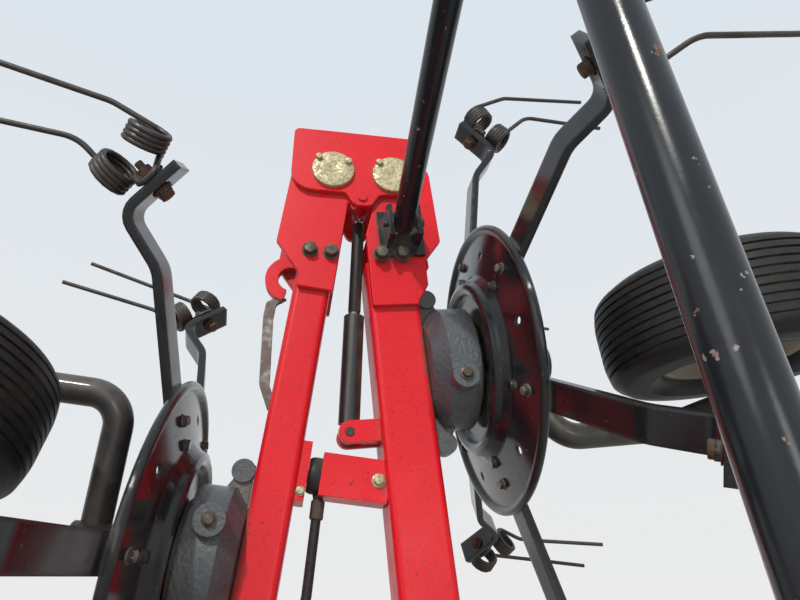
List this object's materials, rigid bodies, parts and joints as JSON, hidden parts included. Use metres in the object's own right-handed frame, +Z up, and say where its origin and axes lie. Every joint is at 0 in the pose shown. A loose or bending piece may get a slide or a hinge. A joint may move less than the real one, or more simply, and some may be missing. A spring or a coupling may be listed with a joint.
{
  "type": "hay tedder",
  "caption": "Mounted rotary hay tedder parked with both wings folded up, red beams, dark dished rotors, spring tines and ground wheels",
  "frame": {"origin": "on the floor, under the middle of the machine's overall box", "axes": "X runs across the machine with its left wing at +X, -Y points at the tractor, +Z is up"},
  "size_m": [3.3978, 1.7435, 2.6581],
  "materials": {
    "red_paint": "gloss paint, dusty",
    "dark_paint": "gloss dark grey paint",
    "anthracite_paint": "gloss anthracite paint, chipped",
    "leg_paint": "dark paint with dried dust and rust",
    "spring_steel": "worn spring steel",
    "tyre_rubber": "dusty black rubber",
    "rim_paint": "pale paint under dried earth",
    "cylinder_paint": "satin black paint",
    "chrome_rod": "polished chrome",
    "zinc_steel": "dull zinc"
  },
  "bodies": {
    "frame": {"centre_beam": "red_paint", "drawbar": "red_paint", "gearbox": "dark_paint", "centre_gears": "dark_paint", "centre_legs": "leg_paint"},
    "headstock_body": {"headstock": "red_paint"},
    "stand_front_left_body": {"stand_front_left": "zinc_steel"},
    "stand_front_right_body": {"stand_front_right": "zinc_steel"},
    "stand_rear_body": {"stand_rear": "zinc_steel"},
    "wing_left": {"inner_beam_left": "red_paint", "inner_gear_left": "dark_paint", "inner_leg_left": "leg_paint", "guard_left": "anthracite_paint"},
    "link_body_left": {"link_left": "red_paint"},
    "outer_left": {"outer_beam_left": "red_paint", "outer_gear_left": "dark_paint", "outer_leg_left": "leg_paint"},
    "rotor_centre_left": {"dish_centre_left": "dark_paint", "tines_centre_left": "spring_steel"},
    "wheel_centre_left": {"tyre_centre_left": "tyre_rubber", "rim_centre_left": "rim_paint"},
    "rotor_inner_left": {"dish_inner_left": "dark_paint", "tines_inner_left": "spring_steel"},
    "wheel_inner_left": {"tyre_inner_left": "tyre_rubber", "rim_inner_left": "rim_paint"},
    "rotor_outer_left": {"dish_outer_left": "dark_paint", "tines_outer_left": "spring_steel"},
    "wheel_outer_left": {"tyre_outer_left": "tyre_rubber", "rim_outer_left": "rim_paint"},
    "fold_cylinder_body_left": {"fold_cylinder_left": "cylinder_paint"},
    "fold_rod_body_left": {"fold_rod_left": "chrome_rod"},
    "link_cylinder_body_left": {"link_cylinder_left": "cylinder_paint"},
    "link_rod_body_left": {"link_rod_left": "chrome_rod"},
    "wing_right": {"inner_beam_right": "red_paint", "inner_gear_right": "dark_paint", "inner_leg_right": "leg_paint", "guard_right": "anthracite_paint"},
    "link_body_right": {"link_right": "red_paint"},
    "outer_right": {"outer_beam_right": "red_paint", "outer_gear_right": "dark_paint", "outer_leg_right": "leg_paint"},
    "rotor_centre_right": {"dish_centre_right": "dark_paint", "tines_centre_right": "spring_steel"},
    "wheel_centre_right": {"tyre_centre_right": "tyre_rubber", "rim_centre_right": "rim_paint"},
    "rotor_inner_right": {"dish_inner_right": "dark_paint", "tines_inner_right": "spring_steel"},
    "wheel_inner_right": {"tyre_inner_right": "tyre_rubber", "rim_inner_right": "rim_paint"},
    "rotor_outer_right": {"dish_outer_right": "dark_paint", "tines_outer_right": "spring_steel"},
    "wheel_outer_right": {"tyre_outer_right": "tyre_rubber", "rim_outer_right": "rim_paint"},
    "fold_cylinder_body_right": {"fold_cylinder_right": "cylinder_paint"},
    "fold_rod_body_right": {"fold_rod_right": "chrome_rod"},
    "link_cylinder_body_right": {"link_cylinder_right": "cylinder_paint"},
    "link_rod_body_right": {"link_rod_right": "chrome_rod"}
  },
  "joints": [
    {"name": "wing_fold_left", "type": "hinge", "parent": "frame", "child": "wing_left", "pos_m": [0.93, 0.14323, 0.868], "axis": [0, 1, 0], "range_deg": [0, 95.8]},
    {"name": "link_fold_left", "type": "hinge", "parent": "wing_left", "child": "link_body_left", "pos_m": [0.95441, 0.14323, 2.2802], "axis": [0, 1, 0], "range_deg": [0, 83.8]},
    {"name": "outer_fold_left", "type": "hinge", "parent": "link_body_left", "child": "outer_left", "pos_m": [0.82942, 0.14323, 2.28107], "axis": [0, 1, 0], "range_deg": [0, 83.8]},
    {"name": "rotor_spin_centre_left", "type": "hinge", "parent": "frame", "child": "rotor_centre_left", "pos_m": [0.6425, 0.14323, 0.723], "axis": [0, 0, 1], "continuous": true},
    {"name": "wheel_roll_centre_left", "type": "hinge", "parent": "frame", "child": "wheel_centre_left", "pos_m": [0.6115, -0.10277, 0.203], "axis": [1, 0, 0], "continuous": true},
    {"name": "rotor_spin_inner_left", "type": "hinge", "parent": "wing_left", "child": "rotor_inner_left", "pos_m": [1.15253, 0.14323, 1.89324], "axis": [-0.9949, 0, -0.1011], "continuous": true},
    {"name": "wheel_roll_inner_left", "type": "hinge", "parent": "wing_left", "child": "wheel_inner_left", "pos_m": [1.49392, -0.10277, 1.89675], "axis": [-0.1011, 0, 0.9949], "continuous": true},
    {"name": "rotor_spin_outer_left", "type": "hinge", "parent": "outer_left", "child": "rotor_outer_left", "pos_m": [0.56383, 0.14323, 1.55176], "axis": [0.9934, 0, -0.1149], "continuous": true},
    {"name": "wheel_roll_outer_left", "type": "hinge", "parent": "outer_left", "child": "wheel_outer_left", "pos_m": [0.24304, -0.07353, 1.73737], "axis": [-0.1101, -0.2874, -0.9515], "continuous": true},
    {"name": "fold_swing_left", "type": "hinge", "parent": "frame", "child": "fold_cylinder_body_left", "pos_m": [0.215, 0.27123, 0.743], "axis": [0, -1, 0], "range_deg": [-1.26, 0]},
    {"name": "fold_stroke_left", "type": "slide", "parent": "fold_cylinder_body_left", "child": "fold_rod_body_left", "axis": [0.9326, 0, 0.3609], "range_m": [0, 0.29228]},
    {"name": "link_swing_left", "type": "hinge", "parent": "wing_left", "child": "link_cylinder_body_left", "pos_m": [0.88061, 0.14323, 1.75002], "axis": [0, -1, 0], "range_deg": [0, 0.564]},
    {"name": "link_stroke_left", "type": "slide", "parent": "link_cylinder_body_left", "child": "link_rod_body_left", "axis": [0.0231, 0, 0.9997], "range_m": [0, 0.11561]},
    {"name": "wing_fold_right", "type": "hinge", "parent": "frame", "child": "wing_right", "pos_m": [-0.93, 0.14323, 0.868], "axis": [0, -1, 0], "range_deg": [0, 95.8]},
    {"name": "link_fold_right", "type": "hinge", "parent": "wing_right", "child": "link_body_right", "pos_m": [-0.95441, 0.14323, 2.2802], "axis": [0, -1, 0], "range_deg": [0, 83.8]},
    {"name": "outer_fold_right", "type": "hinge", "parent": "link_body_right", "child": "outer_right", "pos_m": [-0.82942, 0.14323, 2.28107], "axis": [0, -1, 0], "range_deg": [0, 83.8]},
    {"name": "rotor_spin_centre_right", "type": "hinge", "parent": "frame", "child": "rotor_centre_right", "pos_m": [-0.6425, 0.14323, 0.723], "axis": [0, 0, 1], "continuous": true},
    {"name": "wheel_roll_centre_right", "type": "hinge", "parent": "frame", "child": "wheel_centre_right", "pos_m": [-0.6115, -0.10277, 0.203], "axis": [-1, 0, 0], "continuous": true},
    {"name": "rotor_spin_inner_right", "type": "hinge", "parent": "wing_right", "child": "rotor_inner_right", "pos_m": [-1.15253, 0.14323, 1.89324], "axis": [0.9949, 0, -0.1011], "continuous": true},
    {"name": "wheel_roll_inner_right", "type": "hinge", "parent": "wing_right", "child": "wheel_inner_right", "pos_m": [-1.49392, -0.10277, 1.89675], "axis": [0.1011, 0, 0.9949], "continuous": true},
    {"name": "rotor_spin_outer_right", "type": "hinge", "parent": "outer_right", "child": "rotor_outer_right", "pos_m": [-0.56383, 0.14323, 1.55176], "axis": [-0.9934, 0, -0.1149], "continuous": true},
    {"name": "wheel_roll_outer_right", "type": "hinge", "parent": "outer_right", "child": "wheel_outer_right", "pos_m": [-0.24304, -0.07353, 1.73737], "axis": [0.1101, -0.2874, -0.9515], "continuous": true},
    {"name": "fold_swing_right", "type": "hinge", "parent": "frame", "child": "fold_cylinder_body_right", "pos_m": [-0.215, 0.27123, 0.743], "axis": [0, 1, 0], "range_deg": [-1.26, 0]},
    {"name": "fold_stroke_right", "type": "slide", "parent": "fold_cylinder_body_right", "child": "fold_rod_body_right", "axis": [-0.9326, 0, 0.3609], "range_m": [0, 0.29228]},
    {"name": "link_swing_right", "type": "hinge", "parent": "wing_right", "child": "link_cylinder_body_right", "pos_m": [-0.88061, 0.14323, 1.75002], "axis": [0, 1, 0], "range_deg": [0, 0.564]},
    {"name": "link_stroke_right", "type": "slide", "parent": "link_cylinder_body_right", "child": "link_rod_body_right", "axis": [-0.0231, 0, 0.9997], "range_m": [0, 0.11561]},
    {"name": "headstock_swivel", "type": "hinge", "parent": "frame", "child": "headstock_body", "pos_m": [0, -0.62677, 0.813], "axis": [0, 0, 1], "range_deg": [-10, 10]},
    {"name": "stand_slide_front_left", "type": "slide", "parent": "headstock_body", "child": "stand_front_left_body", "axis": [0, 0, 1], "range_m": [0, 0.25]},
    {"name": "stand_slide_front_right", "type": "slide", "parent": "headstock_body", "child": "stand_front_right_body", "axis": [0, 0, 1], "range_m": [0, 0.25]},
    {"name": "stand_slide_rear", "type": "slide", "parent": "frame", "child": "stand_rear_body", "axis": [0, 0, 1], "range_m": [0, 0.25]}
  ],
  "couplings": [
    {"joint": "link_fold_left", "follows": "wing_fold_left", "ratio": 0.87474},
    {"joint": "outer_fold_left", "follows": "wing_fold_left", "ratio": 0.87474},
    {"joint": "fold_swing_left", "follows": "wing_fold_left", "ratio": -0.013101},
    {"joint": "fold_stroke_left", "follows": "wing_fold_left", "m_per_rad": 0.1748},
    {"joint": "link_swing_left", "follows": "wing_fold_left", "ratio": 0.005881},
    {"joint": "link_stroke_left", "follows": "wing_fold_left", "m_per_rad": 0.069141},
    {"joint": "rotor_spin_inner_left", "follows": "rotor_spin_centre_left", "ratio": -1},
    {"joint": "rotor_spin_outer_left", "follows": "rotor_spin_centre_left", "ratio": 1},
    {"joint": "wing_fold_right", "follows": "wing_fold_left", "ratio": 1},
    {"joint": "link_fold_right", "follows": "wing_fold_left", "ratio": 0.87474},
    {"joint": "outer_fold_right", "follows": "wing_fold_left", "ratio": 0.87474},
    {"joint": "fold_swing_right", "follows": "wing_fold_left", "ratio": -0.013101},
    {"joint": "fold_stroke_right", "follows": "wing_fold_left", "m_per_rad": 0.1748},
    {"joint": "link_swing_right", "follows": "wing_fold_left", "ratio": 0.005881},
    {"joint": "link_stroke_right", "follows": "wing_fold_left", "m_per_rad": 0.069141},
    {"joint": "rotor_spin_centre_right", "follows": "rotor_spin_centre_left", "ratio": -1},
    {"joint": "rotor_spin_inner_right", "follows": "rotor_spin_centre_left", "ratio": 1},
    {"joint": "rotor_spin_outer_right", "follows": "rotor_spin_centre_left", "ratio": -1}
  ]
}
